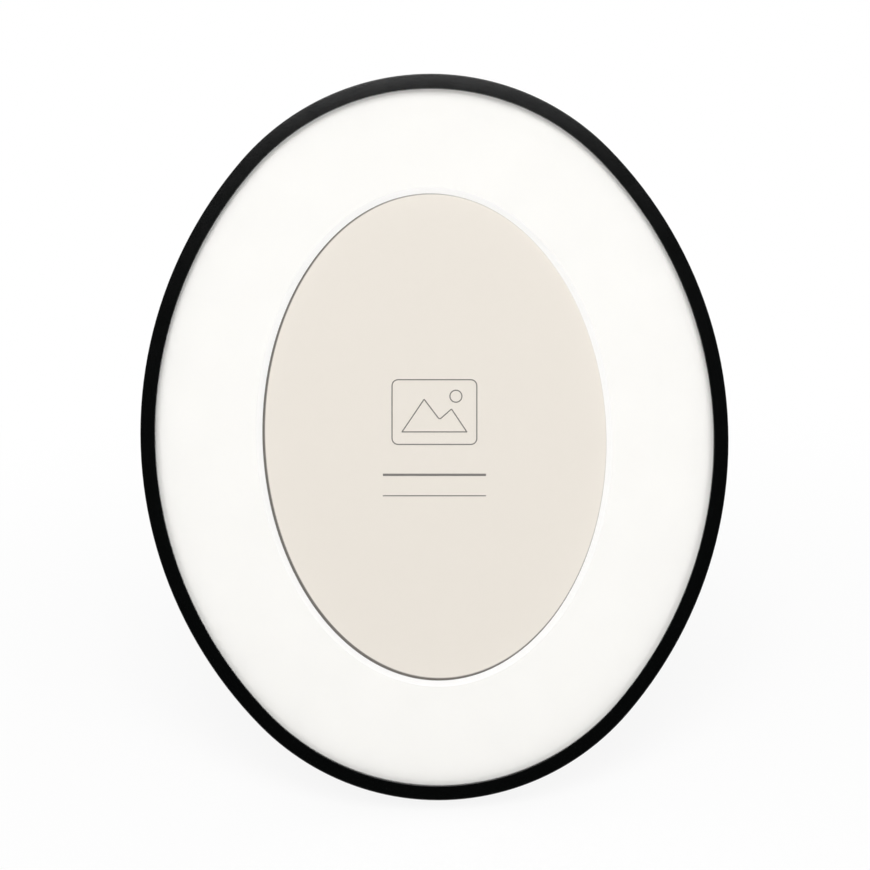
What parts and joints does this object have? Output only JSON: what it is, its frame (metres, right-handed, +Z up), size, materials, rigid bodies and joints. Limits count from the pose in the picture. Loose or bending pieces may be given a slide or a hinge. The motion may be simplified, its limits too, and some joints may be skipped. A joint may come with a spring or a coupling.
{
  "type": "oval picture frame",
  "caption": "Narrow black oval picture frame with glass, a bevelled oval mat and photo card, a back held by turn buttons, a keyhole wall hanger and a folding table strut.",
  "frame": {"origin": "on the table, straight below the middle of the rail", "axes": "+Z up, -Y towards the viewer of the picture, +X to the viewer's right; the face leans back by 19.2 degrees"},
  "size_m": [0.204, 0.098, 0.243],
  "materials": {
    "rail_paint": "satin black powder coat on aluminium",
    "clear_glass": "clear float glass",
    "mat_card": "white mat board with a white core",
    "insert_paper": "smooth beige card",
    "grey_board": "recycled grey board",
    "hardboard": "pressed wood-fibre board",
    "zinc_steel": "zinc-plated pressed steel",
    "rivet_steel": "bright plated steel"
  },
  "bodies": {
    "frame": {"frame_rail": "rail_paint", "glazing": "clear_glass", "mat_board": "mat_card", "photo_insert": "insert_paper", "filler_card": "grey_board", "backing_board": "hardboard", "turn_button_rivets": "rivet_steel", "hanger_plate": "zinc_steel", "hanger_rivets": "rivet_steel", "hinge_backing_leaf": "zinc_steel", "hinge_pin": "zinc_steel", "hinge_rivets": "rivet_steel"},
    "strut": {"strut": "hardboard", "hinge_strut_leaf": "zinc_steel", "strut_rivets": "rivet_steel"},
    "turn_button_top_right": {"turn_button_top_right": "zinc_steel"},
    "turn_button_right": {"turn_button_right": "zinc_steel"},
    "turn_button_bottom_right": {"turn_button_bottom_right": "zinc_steel"},
    "turn_button_bottom_left": {"turn_button_bottom_left": "zinc_steel"},
    "turn_button_left": {"turn_button_left": "zinc_steel"},
    "turn_button_top_left": {"turn_button_top_left": "zinc_steel"}
  },
  "joints": [
    {"name": "strut_fold", "type": "hinge", "parent": "frame", "child": "strut", "pos_m": [0, 0.01413, 0.15045], "axis": [-1, 0, 0], "range_deg": [0, 24]},
    {"name": "turn_button_top_right_turn", "type": "hinge", "parent": "frame", "child": "turn_button_top_right", "pos_m": [0.04904, 0.03419, 0.21309], "axis": [0, 0.9442, -0.3295], "continuous": true},
    {"name": "turn_button_right_turn", "type": "hinge", "parent": "frame", "child": "turn_button_right", "pos_m": [0.0916, 0.00198, 0.1208], "axis": [0, 0.9442, -0.3295], "continuous": true},
    {"name": "turn_button_bottom_right_turn", "type": "hinge", "parent": "frame", "child": "turn_button_bottom_right", "pos_m": [0.04904, -0.03022, 0.02851], "axis": [0, 0.9442, -0.3295], "continuous": true},
    {"name": "turn_button_bottom_left_turn", "type": "hinge", "parent": "frame", "child": "turn_button_bottom_left", "pos_m": [-0.04904, -0.03022, 0.02851], "axis": [0, 0.9442, -0.3295], "continuous": true},
    {"name": "turn_button_left_turn", "type": "hinge", "parent": "frame", "child": "turn_button_left", "pos_m": [-0.0916, 0.00198, 0.1208], "axis": [0, 0.9442, -0.3295], "continuous": true},
    {"name": "turn_button_top_left_turn", "type": "hinge", "parent": "frame", "child": "turn_button_top_left", "pos_m": [-0.04904, 0.03419, 0.21309], "axis": [0, 0.9442, -0.3295], "continuous": true}
  ]
}
